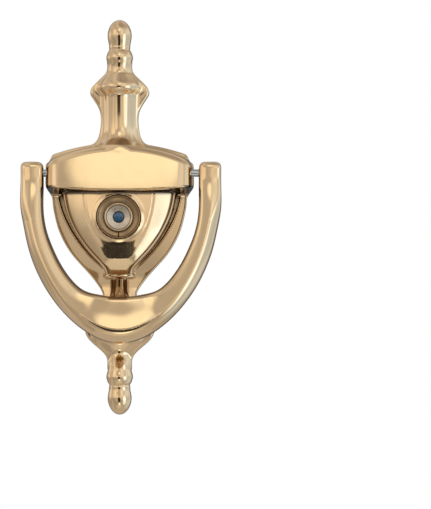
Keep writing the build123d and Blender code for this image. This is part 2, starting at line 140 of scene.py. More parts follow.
# --- Shader building ------------------------------------------------------------------
class Shade:
    """Thin wrapper over a node tree, so that a shader reads as a formula."""

    def __init__(self, tree):
        self.tree = tree
        tree.nodes.clear()

    def node(self, kind, out=0, settings=None, **inputs):
        made = self.tree.nodes.new(kind)
        for key, value in (settings or {}).items():
            setattr(made, key, value)
        for key, value in inputs.items():
            self.put(made.inputs[key.replace("_", " ")], value)
        return made.outputs[out]

    def put(self, socket, value):
        if isinstance(value, bpy.types.NodeSocket):
            self.tree.links.new(value, socket)
        else:
            socket.default_value = value

    def math(self, operation, *values):
        made = self.tree.nodes.new("ShaderNodeMath")
        made.operation = operation
        for socket, value in zip(made.inputs, values):
            self.put(socket, value)
        return made.outputs[0]

    def product(self, first, *others):
        for value in others:
            first = self.math("MULTIPLY", first, value)
        return first

    def split(self, vector):
        made = self.tree.nodes.new("ShaderNodeSeparateXYZ")
        self.put(made.inputs[0], vector)
        return made.outputs

    def vector(self, operation, a, b=(0, 0, 0), out="Vector"):
        made = self.tree.nodes.new("ShaderNodeVectorMath")
        made.operation = operation
        self.put(made.inputs[0], a)
        self.put(made.inputs[1], b)
        return made.outputs[out]

    def ramp(self, value, low, high, to_low=0.0, to_high=1.0):
        """Smoothly map low...high to to_low...to_high."""
        made = self.tree.nodes.new("ShaderNodeMapRange")
        made.interpolation_type = "SMOOTHSTEP"
        for socket, number in zip(made.inputs, (value, low, high, to_low, to_high)):
            self.put(socket, number)
        return made.outputs[0]

    def mix(self, share, a, b):
        made = self.tree.nodes.new("ShaderNodeMix")
        made.data_type = "RGBA"
        self.put(made.inputs[0], share)
        self.put(made.inputs[6], a)
        self.put(made.inputs[7], b)
        return made.outputs[2]

    def noise(self, place, scale, detail=2.0, roughness=0.5):
        return self.node(
            "ShaderNodeTexNoise", Vector=place, Scale=scale, Detail=detail, Roughness=roughness,
        )

    def stretch(self, at, scale):
        return self.vector("MULTIPLY", at, scale)


def finish(name, paint):
    """A material whose Principled inputs come from a function of its shade."""
    made = bpy.data.materials.new(name)
    made.use_nodes = True
    s = Shade(made.node_tree)
    shader = s.node("ShaderNodeBsdfPrincipled", **paint(s))
    out = s.tree.nodes.new("ShaderNodeOutputMaterial")
    s.put(out.inputs["Surface"], shader)
    return made


PAINTED_RECESS_SHADE = (0.07, 0.05, 0.04, 1)       # painted shade: near black where ambient occlusion finds a recess
# Painted shade for walls that face inwards and for the cove under the band.
PAINTED_SHADE = (0.075, 0.06, 0.055, 1)
# Painted dark reflection for the stem.
PAINTED_STEM_REFLECTION = (0.30, 0.15, 0.055, 1)
BROWN = (0.36, 0.17, 0.06, 1)


def painted_shade_share(s, at, facing):
    """Share of painted shade: walls that face inwards, and the cove in the band's shadow under its overhang.
    Metres.
    """
    x, y, z = s.split(at)
    from_axis = s.vector("NORMALIZE", s.stretch(at, (1, 0, 1)))
    outward = s.vector("DOT_PRODUCT", from_axis, facing, out="Value")
    inner_wall = s.ramp(outward, -0.88, -0.6, 0.85, 0.0)
    # Painted shadow in the cove under the band's overhang.
    under_band = s.product(
        s.ramp(z, 0.0084, 0.0096), s.ramp(z, 0.0124, 0.0126, 1.0, 0.0),
        s.ramp(y, -0.0162, -0.0148), s.ramp(s.math("ABSOLUTE", x), 0.0293, 0.0296, 1.0, 0.0),
    )
    return s.math("MAXIMUM", inner_wall, under_band)


def brown_patches(s, at):
    """Shares of the stem's dark brown, a painted reflection, and of the brown at the column's foot and
    finial's root.
    """
    x, _, z = s.split(at)
    # The stem's dark brown is a painted dark reflection.
    stem = s.product(
        s.ramp(z, -0.033, -0.032), s.ramp(z, -0.0249, -0.0244, 1.0, 0.0),
        s.ramp(s.math("ABSOLUTE", x), 0.0032, 0.0042, 0.9, 0.0),
    )

    def oval(middle_z, half_x, half_z, share):
        up = s.math("DIVIDE", s.math("SUBTRACT", z, middle_z), half_z)
        off = s.math("ADD", s.math("POWER", s.math("DIVIDE", x, half_x), 2.0), s.math("POWER", up, 2.0))
        return s.ramp(off, 0.55, 1.1, share, 0.0)

    column_foot = s.product(oval(0.0285, 0.0056, 0.0034, 0.85), s.ramp(z, 0.0282, 0.0288))
    return stem, s.math("MAXIMUM", column_foot, oval(-0.058, 0.0019, 0.0022, 0.9))


def cast_brass(s):
    """Hand polished in front, as cast behind; scratches, painted shade in recesses, on walls that face
    inwards and under the band, a painted dark reflection on the stem, and brown patches.
    """
    at = s.node("ShaderNodeTexCoord", "Object")
    facing = s.node("ShaderNodeTexCoord", "Normal")
    # Share of as-cast skin over all of the back, and a little on each side wall, where it is painted shade
    # darkening the outline.
    skin_and_wall_shade = s.ramp(s.split(facing)["Y"], -0.1, 0.35)
    stem, brown = brown_patches(s, at)
    cloud = s.noise(at, 260.0, 3.0)
    sand = s.noise(at, 1500.0, 3.0, 0.6)
    scratch = s.noise(s.stretch(at, (2600, 2600, 500)), 1.0, 4.0, 0.7)
    recess = s.node("ShaderNodeAmbientOcclusion", "AO", {"samples": 12}, Distance=0.005)
    clean = s.mix(cloud, (0.87, 0.61, 0.33, 1), (0.90, 0.66, 0.39, 1))
    # Painted shade on walls that face inwards and in the cove under the band.
    clean = s.mix(s.product(painted_shade_share(s, at, facing), 0.88), clean, PAINTED_SHADE)
    # Painted dark reflection on the stem; brown patches at the column's foot and finial's root.
    clean = s.mix(brown, s.mix(stem, clean, PAINTED_STEM_REFLECTION), BROWN)
    # Painted shade: recesses that ambient occlusion finds go near black.
    polished = s.mix(s.ramp(recess, 0.1, 0.52), PAINTED_RECESS_SHADE, clean)
    skin = s.mix(s.ramp(cloud, 0.3, 0.7), (0.40, 0.27, 0.13, 1), (0.58, 0.42, 0.22, 1))
    dull = s.ramp(recess, 0.2, 0.8, 0.14, 0.0)
    fine = s.math("ADD", s.ramp(scratch, 0.35, 0.75, 0.06, 0.12), dull)
    roughness = s.math("ADD", fine, s.product(skin_and_wall_shade, 0.35))
    waves = s.product(s.noise(at, 130.0, 1.0), 0.25)
    grain = s.math("ADD", waves, s.product(scratch, 0.004))
    height = s.math("ADD", grain, s.product(sand, skin_and_wall_shade, 0.25))
    bump = s.node("ShaderNodeBump", Strength=0.35, Distance=0.0004, Height=height)
    return {
        "Base_Color": s.mix(skin_and_wall_shade, polished, skin), "Metallic": 1.0, "Roughness": roughness, "Normal": bump,
    }


def turned(s, dark, light, smooth, rough):
    """Metal off a lathe: fine rings round the viewer's axis, and painted shade in its recesses."""
    at = s.node("ShaderNodeTexCoord", "Object")
    radius = s.vector("LENGTH", s.stretch(at, (1, 0, 1)), out="Value")
    track = s.math("ADD", radius, s.product(s.split(at)["Y"], 0.7))
    rings = s.node("ShaderNodeTexNoise", 0, {"noise_dimensions": "1D"}, W=track, Scale=9000.0, Detail=2.0)
    cloud = s.noise(at, 500.0, 3.0)
    recess = s.node("ShaderNodeAmbientOcclusion", "AO", {"samples": 8}, Distance=0.0015)
    clean = s.mix(s.product(s.math("ADD", rings, cloud), 0.5), dark, light)
    # Painted shade: recesses that ambient occlusion finds go dark.
    recess_shaded = s.mix(s.ramp(recess, 0.2, 0.8), [v * 0.35 for v in dark[:3]] + [1], clean)
    bump = s.node("ShaderNodeBump", Strength=0.25, Distance=0.00004, Height=rings)
    roughness = s.ramp(rings, 0.3, 0.7, smooth, rough)
    return {"Base_Color": recess_shaded, "Metallic": 1.0, "Roughness": roughness, "Normal": bump}


def turned_brass(s):
    return turned(s, (0.66, 0.46, 0.25, 1), (0.86, 0.66, 0.42, 1), 0.12, 0.26)


def dished_brass(s):
    """Turned brass in darker browns, for the head round the bright bezel."""
    return turned(s, (0.28, 0.17, 0.08, 1), (0.52, 0.36, 0.20, 1), 0.2, 0.34)


def grey_metal(s):
    return turned(s, (0.62, 0.50, 0.36, 1), (0.94, 0.82, 0.65, 1), 0.18, 0.34)


def plated(s, dark, light, smooth, rough):
    """Plated steel: a fine crystalline mottle, and painted shade in its recesses."""
    at = s.node("ShaderNodeTexCoord", "Object")
    mottle = s.noise(at, 900.0, 4.0, 0.6)
    grain = s.noise(s.stretch(at, (400, 6000, 6000)), 1.0, 3.0, 0.6)
    recess = s.node("ShaderNodeAmbientOcclusion", "AO", {"samples": 8}, Distance=0.001)
    clean = s.mix(s.ramp(mottle, 0.3, 0.7), dark, light)
    # Painted shade: recesses that ambient occlusion finds go dark.
    recess_shaded = s.mix(s.ramp(recess, 0.2, 0.8), [v * 0.4 for v in dark[:3]] + [1], clean)
    bump = s.node("ShaderNodeBump", Strength=0.2, Distance=0.00005, Height=grain)
    roughness = s.ramp(grain, 0.3, 0.7, smooth, rough)
    return {"Base_Color": recess_shaded, "Metallic": 1.0, "Roughness": roughness, "Normal": bump}


def steel(s):
    return plated(s, (0.50, 0.50, 0.48, 1), (0.68, 0.67, 0.64, 1), 0.2, 0.36)


def dark_steel(s):
    return plated(s, (0.035, 0.033, 0.035, 1), (0.10, 0.095, 0.09, 1), 0.3, 0.5)


def black_plastic(s):
    at = s.node("ShaderNodeTexCoord", "Object")
    grain = s.noise(at, 2500.0, 3.0)
    colour = s.mix(grain, (0.012, 0.012, 0.013, 1), (0.035, 0.034, 0.036, 1))
    bump = s.node("ShaderNodeBump", Strength=0.3, Distance=0.00005, Height=grain)
    return {"Base_Color": colour, "Roughness": s.ramp(grain, 0.3, 0.7, 0.5, 0.75), "Normal": bump}


def fibre(s):
    at = s.node("ShaderNodeTexCoord", "Object")
    felt = s.noise(s.stretch(at, (900, 4000, 2200)), 1.0, 5.0, 0.65)
    colour = s.mix(s.ramp(felt, 0.3, 0.7), (0.20, 0.06, 0.035, 1), (0.40, 0.15, 0.09, 1))
    bump = s.node("ShaderNodeBump", Strength=0.4, Distance=0.0001, Height=felt)
    return {"Base_Color": colour, "Roughness": s.ramp(felt, 0.3, 0.7, 0.55, 0.8), "Normal": bump}


def lens_glass(s):
    """Blue coated glass, a little deeper and duller where dust has settled, with shade painted dark round its
    rim.
    """
    at = s.node("ShaderNodeTexCoord", "Object")
    dust = s.noise(at, 1800.0, 3.0)
    radius = s.vector("LENGTH", s.stretch(at, (1, 0, 1)), out="Value")
    coat = s.mix(s.ramp(dust, 0.35, 0.7), (0.07, 0.24, 0.46, 1), (0.20, 0.46, 0.70, 1))
    # Painted shade: the glass goes near black towards its rim.
    colour = s.mix(s.ramp(radius, 0.0014, 0.0023), coat, (0.01, 0.02, 0.04, 1))
    return {
        "Base_Color": colour, "Roughness": s.ramp(dust, 0.4, 0.8, 0.02, 0.12), "IOR": 1.52,
        "Transmission_Weight": 0.6, "Coat_Weight": 1.0, "Coat_Roughness": 0.03,
    }


PAINTS = (
    cast_brass, turned_brass, dished_brass, steel, dark_steel, grey_metal, lens_glass, black_plastic, fibre,
)
FINISHES = {paint.__name__: finish(paint.__name__, paint) for paint in PAINTS}
SLOTS = {part["node"]: part["material_slot"] for part in frame["record"]["subparts"]}


# --- Meshing --------------------------------------------------------------------
def settle(points, field, passes, reach):
    """Move points onto the field's surface; returns them with their normals."""
    step = 0.02
    for turn in range(passes + 1):
        slope = np.empty_like(points)
        for axis in range(3):
            nudge = np.zeros(3)
            nudge[axis] = step
            slope[:, axis] = (field(*(points + nudge).T) - field(*(points - nudge).T)) / (2 * step)
        size = np.maximum((slope * slope).sum(1), 1e-6)
        if turn < passes:
            move = (-field(*points.T) / size)[:, None] * slope
            length = np.linalg.norm(move, axis=1, keepdims=True)
            points = points + move * np.minimum(1, reach / np.maximum(length, 1e-9))
    return points, slope / np.sqrt(size)[:, None]


def relax(points, normals, quads):
    """Even out the spacing of the vertices along the surface."""
    total = np.zeros_like(points)
    count = np.zeros(len(points))
    for a, b in ((0, 1), (1, 2), (2, 3), (3, 0)):
        for here, there in ((quads[:, a], quads[:, b]), (quads[:, b], quads[:, a])):
            for axis in range(3):
                total[:, axis] += np.bincount(here, points[there, axis], len(points))
            count += np.bincount(here, minlength=len(points))
    move = total / count[:, None] - points
    move -= (move * normals).sum(1)[:, None] * normals
    return points + 0.5 * move


def mesh_field(name, field, low, high, cell):
    """Smooth closed quad mesh of the surface where the field is zero."""
    axes = [np.arange(a - 2 * cell, b + 3 * cell, cell) for a, b in zip(low, high)]
    grid = np.stack([
        field(*np.meshgrid(axes[0], axes[1], [z], indexing="ij"))[:, :, 0] for z in axes[2]
    ], axis=2)
    inside = grid < 0
    shape = np.array(grid.shape) - 1
    corners = [(i, j, k) for i in (0, 1) for j in (0, 1) for k in (0, 1)]
    filled = sum(
        inside[i:i + shape[0], j:j + shape[1], k:k + shape[2]].astype(np.int8) for i, j, k in corners
    )
    cells = np.argwhere((filled > 0) & (filled < 8))
    index = np.full(shape, -1)
    index[tuple(cells.T)] = np.arange(len(cells))

    total = np.zeros((len(cells), 3))
    count = np.zeros(len(cells))
    for start in corners:
        for axis in range(3):
            if start[axis]:
                continue
            end = list(start)
            end[axis] = 1
            a = grid[tuple((cells + start).T)]
            b = grid[tuple((cells + end).T)]
            crossed = (a < 0) != (b < 0)
            spot = np.tile(np.array(start, float), (len(cells), 1))
            spot[:, axis] = np.where(crossed, a / np.where(crossed, a - b, 1), 0)
            total += np.where(crossed[:, None], spot, 0)
            count += crossed
    points = np.array([a[0] for a in axes]) + cell * (cells + total / count[:, None])

    quads = []
    for axis, (u, v) in enumerate(((1, 2), (2, 0), (0, 1))):
        first = np.take(inside, range(shape[axis]), axis)
        second = np.take(inside, range(1, shape[axis] + 1), axis)
        for sense in (True, False):
            edges = np.argwhere((first != second) & (first == sense))
            edges = edges[(edges[:, u] > 0) & (edges[:, v] > 0)]
            ring = []
            for du, dv in ((1, 1), (0, 1), (0, 0), (1, 0)):
                spot = edges.copy()
                spot[:, u] -= du
                spot[:, v] -= dv
                ring.append(index[tuple(spot.T)])
            quads.append(np.stack(ring if sense else ring[::-1], axis=1))
    quads = np.concatenate(quads)

    points, normals = settle(points, field, 3, cell / 2)
    for _ in range(3):
        points = relax(points, normals, quads)
        points, normals = settle(points, field, 2, cell / 2)
    mesh = bpy.data.meshes.new(name)
    mesh.from_pydata((points * MM).tolist(), [], quads.tolist())
    mesh.shade_smooth()
    mesh.normals_split_custom_set_from_vertices(normals.tolist())
    return link(name, mesh)


def link(name, mesh):
    piece = bpy.data.objects.new(name, mesh)
    bpy.context.scene.collection.objects.link(piece)
    return piece


# --- Backplate --------------------------------------------------------------------
# Half-widths, radii and depths down the plate, as (height, value) points.
finial_top = smooth_curve(
    (52, 2.2), (55, 3.2), (58, 4.4), (61, 4.75), (63.6, 5.3), (66.5, 4.45), (68.4, 4.25), (70.4, 4.6),
    (72.4, 4.8), (74.4, 4.8),
)
flange_width = smooth_curve(
    (62, 4.6), (59, 4.6), (57, 5.4), (54.6, 8.1), (52.2, 10.7), (50.6, 11.6), (49.2, 11.7), (47.6, 10.9),
    (45.0, 9.2), (42.0, 7.8), (38.4, 7.4), (35.0, 7.7), (30, 8.6), (26, 9.0),
)
column_radius = smooth_curve(
    (62, 3.0), (58, 4.4), (55.6, 6.2), (53.6, 7.6), (51.8, 8.1), (50.4, 7.6), (49.2, 6.6), (47.4, 6.15),
    (42, 6.0), (37, 6.0), (33, 6.5), (30, 7.8), (28, 8.7), (25.5, 8.4), (23, 7.0),
)
body_width = smooth_curve(
    (23, 29.2), (16, 29.2), (12.4, 29.1), (10.8, 28.4), (9.2, 27.3), (7.4, 26.8), (4.6, 26.6), (1.8, 26.1),
    (-5.4, 24.2), (-10.2, 22.0), (-15, 18.9), (-19.8, 14.7), (-24.6, 10.5), (-27, 8.7), (-31, 6.7),
    (-34, 7.6), (-39, 11.0), (-44, 13.6), (-46.6, 13.4), (-49.8, 11.1), (-54.6, 5.9), (-57.6, 4.7),
    (-61, 4.6),
)
rim_inner = smooth_curve(
    (14, 25.2), (8, 24.2), (2, 22.5), (-8, 17.3), (-14.4, 12.2), (-18.5, 7.9), (-22, 4.2), (-25, 2.6),
    (-30, 2.2), (-36, 2.2),
)
bowl_width = smooth_curve(
    (14, 23.0), (8, 22.3), (2, 21.0), (-4.6, 18.2), (-10, 14.9), (-14.4, 11.4), (-18.4, 7.6), (-21, 5.7),
    (-23, 5.4),
)
facet_width = smooth_curve(
    (14, 14.4), (8.2, 14.2), (2.4, 13.4), (-4.6, 11.2), (-10, 8.3), (-15, 5.9), (-18, 4.6),
)
pocket_width = smooth_curve((14, 14.4), (2, 13.2), (-6, 10.4), (-16, 4.2), (-20, 3.0))
plate_face = smooth_curve(
    (80, 3.2), (62, 3.2), (55, 3.9), (40, 4.2), (28, 4.8), (10, 5.0), (-31, 5.0), (-44, 5.2), (-54, 4.2),
    (-60, 3.2), (-80, 3.2),
)
stem_radius = smooth_curve((-22, 3.6), (-25.5, 3.3), (-28.6, 3.3), (-31.4, 4.1), (-34, 6.0))
base_flatness = smooth_curve((-30, 2.2), (-46, 2.1), (-53, 1.4), (-58, 1.0), (-62, 1.0))

FLANGE_TOP = 61.0           # where the upper flange gives way to the finial
BASE_FOOT = -60.0           # where the base gives way to the lower finial
COLUMN_FOOT = 23.0          # buried in the band
BAND_HALF, BAND_DEPTH, BAND_TOP = 29.3, 17.0, 28.6
BAND_ARCH = 0.0076          # fall of the band's top edge, per millimetre squared
LIP_MIDDLE, COVE_ROOT = 10.1, 8.7
BOWL_DEPTH, BOWL_FOOT, BOWL_TOP = 14.2, -22.6, 12.0
RIM_SLOPE = 0.2
OPENING_TOP = 8.8
COLLAR_RADIUS, COLLAR_MIDDLE, COLLAR_HALF = 6.4, -23.1, 1.15
STEM_TOP, STEM_FOOT = -21.0, -34.0
ANVIL_SEAT_RADIUS, ANVIL_SEAT_DEPTH = 6.4, 8.5
VIEWER_SEAT_DEPTH, VIEWER_HOLE_RADIUS = 12.6, 7.15
BOLT_HOLE_RADIUS, BOLT_MOUTH_RADIUS, BOLT_MOUTH_DEPTH = 2.27, 3.0, 0.7


def finial(rho, z, up):
    """A turned finial: bulb, groove, bead, root."""
    tall = up * z
    cap = (TIP - 72.4) if up > 0 else (TIP - 71.6)
    top = TIP - cap
    groove = 0.3 * np.exp(-((tall - 66.7) / 0.45) ** 2)
    body = beside(rho, finial_top, tall) + groove
    bulb_radius = 4.8
    bulb = bulb_radius * (np.sqrt((rho / bulb_radius) ** 2 + ((tall - top) / cap) ** 2) - 1)
    return np.maximum(np.where(tall > top, bulb, body), 53 - tall)


def arched(across, z, crown, fall):
    """Distance above an arch that falls away from its crown."""
    return (z - (crown - fall * across ** 2)) / np.sqrt(1 + (2 * fall * across) ** 2)


def plate_outline(across, z):
    """Front-view outline of the whole plate."""
    flange = np.maximum(beside(across, flange_width, z), z - FLANGE_TOP)
    shoulder = np.maximum(soft_max(across - 27.3, arched(across, z, 29.7, 0.0066), 1.6), 18 - z)
    below = np.maximum(soft_max(beside(across, body_width, z), z - 21.4, 1.0), BASE_FOOT - z)
    top = soft_min(np.maximum(flange, 24 - z), shoulder, 3.6)
    return soft_min(top, below, 0.3)


def band(across, depth, z):
    """Hinge housing: leaning out to a chamfered lower lip, its underside coved back."""
    top = arched(across, z, BAND_TOP, BAND_ARCH)
    lip = LIP_MIDDLE + 2.0 * (across / BAND_HALF) ** 2
    inward = np.clip((depth - 5) / 11, 0, 1)
    under = COVE_ROOT + (lip - COVE_ROOT) * inward ** 0.6 - z
    rise = np.clip(z - 10.5, 0, None)
    front = depth - (BAND_DEPTH - 0.22 * rise - 0.0035 * rise ** 2 - 1.1 * (across / 28) ** 4)
    side = (across - BAND_HALF + 0.06 * depth + 0.7 * np.clip(12.0 - z, 0, None)) * 0.9
    body = soft_max(soft_max(front, side, 4.6), top, 3.0)
    chamfer = 0.5 * (depth - 16.6) + 0.86 * (lip + 0.35 - z)
    body = soft_max(body, chamfer, 0.35)
    return np.maximum(soft_max(body, under, 0.3), 6 - z)


def bowl(across, depth, z):
    """Bowl with a flat shield-shaped facet, a crease round that, and a swell round the viewer."""
    outside = soft_max(beside(across, facet_width, z), -16.4 - z, 2.5)
    ring = np.sqrt(across ** 2 + z ** 2)
    swell = 0.65 * np.clip((11.2 - ring) / 2.6, 0, 1) ** 2
    crown = 0.0065 * np.minimum(across, facet_width(z)) ** 2 + 0.002 * np.clip(z + 11, 0, None) ** 2
    fall = np.clip(outside, 0, None)
    crease = 0.16 * np.exp(-((outside + 0.6) / 0.5) ** 2) * np.clip((z + 12) / 4, 0, 1)
    front = (depth - BOWL_DEPTH - swell + crown + crease + 0.38 * fall + 0.01 * fall ** 2) * 0.93
    side = beside(across, bowl_width, z)
    return np.maximum(soft_max(front, side, 2.4), np.maximum(BOWL_FOOT - z, z - BOWL_TOP))


def plate(across, depth, z):
    """The flat casting: its rim slopes outward round the opening beside the bowl."""
    beside_rim = beside(across, rim_inner, z)
    slope = RIM_SLOPE * np.clip((10 - z) / 3, 0, 1) * np.clip((z + 34) / 6, 0, 1)
    face = depth - plate_face(z) - 0.5 * slope + slope * np.clip(beside_rim, 0, 9)
    body = soft_max(plate_outline(across, z), face, 1.0)
    opening = soft_max(beside_rim, z - OPENING_TOP, 1.0)
    floor = 2.4 + 0.07 * np.clip(8 - z, 0, None)
    return soft_max(body, -soft_max(opening, floor - depth, 0.4), 0.8)


def foot(across, depth, z, rho):
    """Stem, collar, domed base and the seat of the anvil."""
    stem = np.maximum(beside(rho, stem_radius, z), np.maximum(z - STEM_TOP, STEM_FOOT - z))
    collar = soft_max(rho - COLLAR_RADIUS, np.abs(z - COLLAR_MIDDLE) - COLLAR_HALF, 1.4)
    dome = np.sqrt(across ** 2 + (base_flatness(z) * (depth - 1.5)) ** 2) - body_width(z) + 1.0
    dome = soft_max(dome * 0.7, np.maximum(z + 36, BASE_FOOT - z), 3.0)
    from_anvil = np.sqrt(across ** 2 + (z - ANVIL_Z) ** 2)
    seat = soft_max(from_anvil - ANVIL_SEAT_RADIUS, depth - ANVIL_SEAT_DEPTH, 1.2)
    return (stem, 0.8), (collar, 0.3), (dome, 1.5), (seat, 1.5)


def holes(across, depth, z):
    """Viewer seat and bore, axle hole, hollows behind, and bolt holes, each with its edge."""
    axis = np.sqrt(across ** 2 + z ** 2)
    yield soft_max(axis - HEAD_RADIUS - 0.15, VIEWER_SEAT_DEPTH - depth, 0.3), 0.35
    yield axis - VIEWER_HOLE_RADIUS, 0.3
    yield np.sqrt((depth - AXLE_DEPTH) ** 2 + (z - AXLE_Z) ** 2) - AXLE_RADIUS - 0.05, 0.3
    hollow_top = np.minimum(23.4, 25.4 - BAND_ARCH * across ** 2)
    hollow = soft_max(across - 25.0, depth - 11.6, 1.5)
    hollow = soft_max(hollow, soft_max(12.6 - z, z - hollow_top, 1.5), 1.5)
    well = soft_max(beside(across, pocket_width, z), depth - 10.8, 1.5)
    well = soft_max(soft_max(well, np.abs(z + 4) - 12.2, 1.5), 10.0 - axis, 1.5)
    yield np.minimum(hollow, well), 0.8
    for bolt_z, length in ((UPPER_BOLT_Z, 7.0), (ANVIL_Z, 5.3)):
        from_bolt = np.sqrt(across ** 2 + (z - bolt_z) ** 2)
        mouth = np.maximum(from_bolt - BOLT_MOUTH_RADIUS, depth - BOLT_MOUTH_DEPTH)
        yield np.minimum(np.maximum(from_bolt - BOLT_HOLE_RADIUS, depth - length), mouth), 0.3


def backplate(x, y, z):
    across = np.abs(x)
    depth = -y
    rho = np.sqrt(x ** 2 + (depth - TURNING_DEPTH) ** 2)
    body = soft_min(plate(across, depth, z), bowl(across, depth, z), 0.4)
    body = soft_min(body, band(across, depth, z), 1.2)
    column = beside(rho, column_radius, z)
    column = np.maximum(column, np.maximum(z - FLANGE_TOP, COLUMN_FOOT - z))
    body = soft_min(body, column, 2.2)
    for form, fillet in foot(across, depth, z, rho):
        body = soft_min(body, form, fillet)
    for up in (1, -1):
        body = soft_min(body, finial(rho, z, up), 1.2)
    for hole, edge in holes(across, depth, z):
        body = soft_max(body, -hole, edge)
    return soft_max(body, -depth, 0.3)


# --- Handle -------------------------------------------------------------------------
EAR_HALF = 4.5
EAR_INNER = 30.8
EAR_OUTER = (HANDLE[1].x - HANDLE[0].x) / 2
PAD_RISE = 2.3
AXLE_HOLE_END = 38.5
GRUB_X, GRUB_HOLE_RADIUS, GRUB_HOLE_DEPTH = 35.4, 1.55, 8.0


def upright(x, *angles):
    """Points of an upright edge at this x, in the handle's polar outline."""
    return [(angle, x / math.sin(math.radians(angle))) for angle in angles]


# Polar outlines about the viewer's axis, as (degrees from straight down, radius) points.
inner_edge = even_curve(
    (0, 31.4), (16.7, 31.8), (26, 32.3), (34, 31.8), (43.5, 30.8), (56.6, 29.8), (66, 29.5), (78, 29.8),
    (86.6, 30.25), *upright(EAR_INNER, 97, 108, 118, 128),
)
outer_edge = even_curve(
    (0, 50.2), (7.2, 49.6), (15.2, 47.9), (26.6, 45.1), (38, 42.6), (48, 40.9), (60, 39.5), (72, 38.8),
    (84, 38.9), *upright(EAR_OUTER, 96, 106, 116, 128),
)
# Depths at a height, drops of the face towards its two edges at an angle, and the
# pad's rise at a share of the width.
arm_front = smooth_curve(
    (23, 12.5), (18.5, 12.8), (14.6, 13.1), (12.6, 13.5), (9, 14.4), (5, 15.25), (0, 16.2), (-10, 18.1),
    (-20, 19.9), (-30, 21.4), (-44, 22.8), (-52, 23.0),
)
arm_back = smooth_curve(
    (20, 4.9), (15.2, 5.1), (8, 5.8), (0, 6.9), (-10, 8.3), (-20, 9.9), (-28, 11.8), (-34, 13.0), (-52, 13.0),
)
ridge_place = even_curve((0, 0.69), (20, 0.66), (40, 0.56), (70, 0.5), (128, 0.5))
inner_drop = even_curve((0, 0.7), (25, 1.1), (50, 1.2), (90, 0.8), (128, 0.6))
outer_drop = even_curve((0, 2.6), (40, 3.0), (90, 1.8), (105, 1.0), (128, 0.6))
pad_rise = smooth_curve(
    (-0.2, 0.2), (0, 0.3), (0.2, 0.33), (0.4, 0.42), (0.55, 0.62), (0.69, 0.88), (1.0, 1.3),
)


def lean(edge, angle, radius):
    """How fast an edge of the outline moves away from the axis as it goes round."""
    step = 0.2
    return (edge(angle + step) - edge(angle - step)) / (2 * math.radians(step) * radius)


def handle(x, y, z):
    across = np.abs(x - HANDLE_X)
    depth = -y
    radius = np.sqrt(across ** 2 + z ** 2)
    angle = np.degrees(np.arctan2(across, -z))
    inner = inner_edge(angle)
    width = outer_edge(angle) - inner
    inside_wall = (inner - radius) / np.sqrt(1 + lean(inner_edge, angle, inner) ** 2)
    outside_wall = (radius - inner - width) / np.sqrt(1 + lean(outer_edge, angle, inner + width) ** 2)
    part = (radius - inner) / width
    ridge = ridge_place(angle)
    face = (
        arm_front(z)
        - inner_drop(angle) * np.clip((ridge - part) / ridge, 0, 1.3) ** 2
        - outer_drop(angle) * np.clip((part - ridge) / (1 - ridge), 0, 1.3) ** 1.5
    )
    rounding = 5.0 - 2.6 * np.clip((angle - 88) / 14, 0, 1)
    arm = soft_max(depth - face, outside_wall, rounding)
    middle = np.exp(-np.abs(angle / 20) ** 3)
    pad_face = face + PAD_RISE * middle * pad_rise(np.clip(part, -0.2, 1.0)) - 0.6 * (1 - middle)
    undercut = (part - ridge) * width - 0.3 * (depth - pad_face)
    pad = soft_max(depth - pad_face, undercut, 0.7)
    body = soft_min(arm, pad, 0.3)
    back = soft_max(arm_back(z) - depth, outside_wall, 1.4)
    body = soft_max(soft_max(body, inside_wall, 1.8), back, 1.2)
    body = soft_max(body, z - AXLE_Z - EAR_HALF, 2.6)
    hinge = np.sqrt((depth - AXLE_DEPTH) ** 2 + (z - AXLE_Z) ** 2)
    body = soft_max(body, -np.maximum(hinge - AXLE_RADIUS - 0.02, across - AXLE_HOLE_END), 0.25)
    grub = np.sqrt((across - GRUB_X) ** 2 + (z - AXLE_Z) ** 2)
    return soft_max(body, -np.maximum(grub - GRUB_HOLE_RADIUS, depth - GRUB_HOLE_DEPTH), 0.25)


CELL = 0.44


def mesh_node(node, field, body, cell=CELL):
    """Stand a field's surface in for a CAD node."""
    low, high = cad(node)
    piece = mesh_field(node + "_surface", field, [v - 0.5 for v in low], [v + 0.5 for v in high], cell)
    return dress(piece, node, body)


def dress(piece, node, body):
    """Stand a piece in for a CAD node, with that node's finish."""
    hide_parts(node)
    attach(piece, body)
    piece.data.materials.clear()
    piece.data.materials.append(FINISHES[SLOTS[node]])
    return piece


mesh_node("backplate", backplate, "root")
mesh_node("handle", handle, "handle")


# --- Turned pieces --------------------------------------------------------------------
def soften(outline, radius, closed):
    """Round every corner of a (radius, along) outline, each arc in four steps."""
    made = []
    count = len(outline)
    for i, (r, y) in enumerate(outline):
        corner = np.array((r, y), float)
        if not closed and i in (0, count - 1):
            made.append(corner)
            continue
        before = np.array(outline[i - 1], float) - corner
        after = np.array(outline[(i + 1) % count], float) - corner
        reach = min(radius, 0.45 * np.linalg.norm(before), 0.45 * np.linalg.norm(after))
        start = corner + before / np.linalg.norm(before) * reach
        end = corner + after / np.linalg.norm(after) * reach
        for t in np.linspace(0, 1, 5):
            made.append((1 - t) ** 2 * start + 2 * t * (1 - t) * corner + t ** 2 * end)
    return made


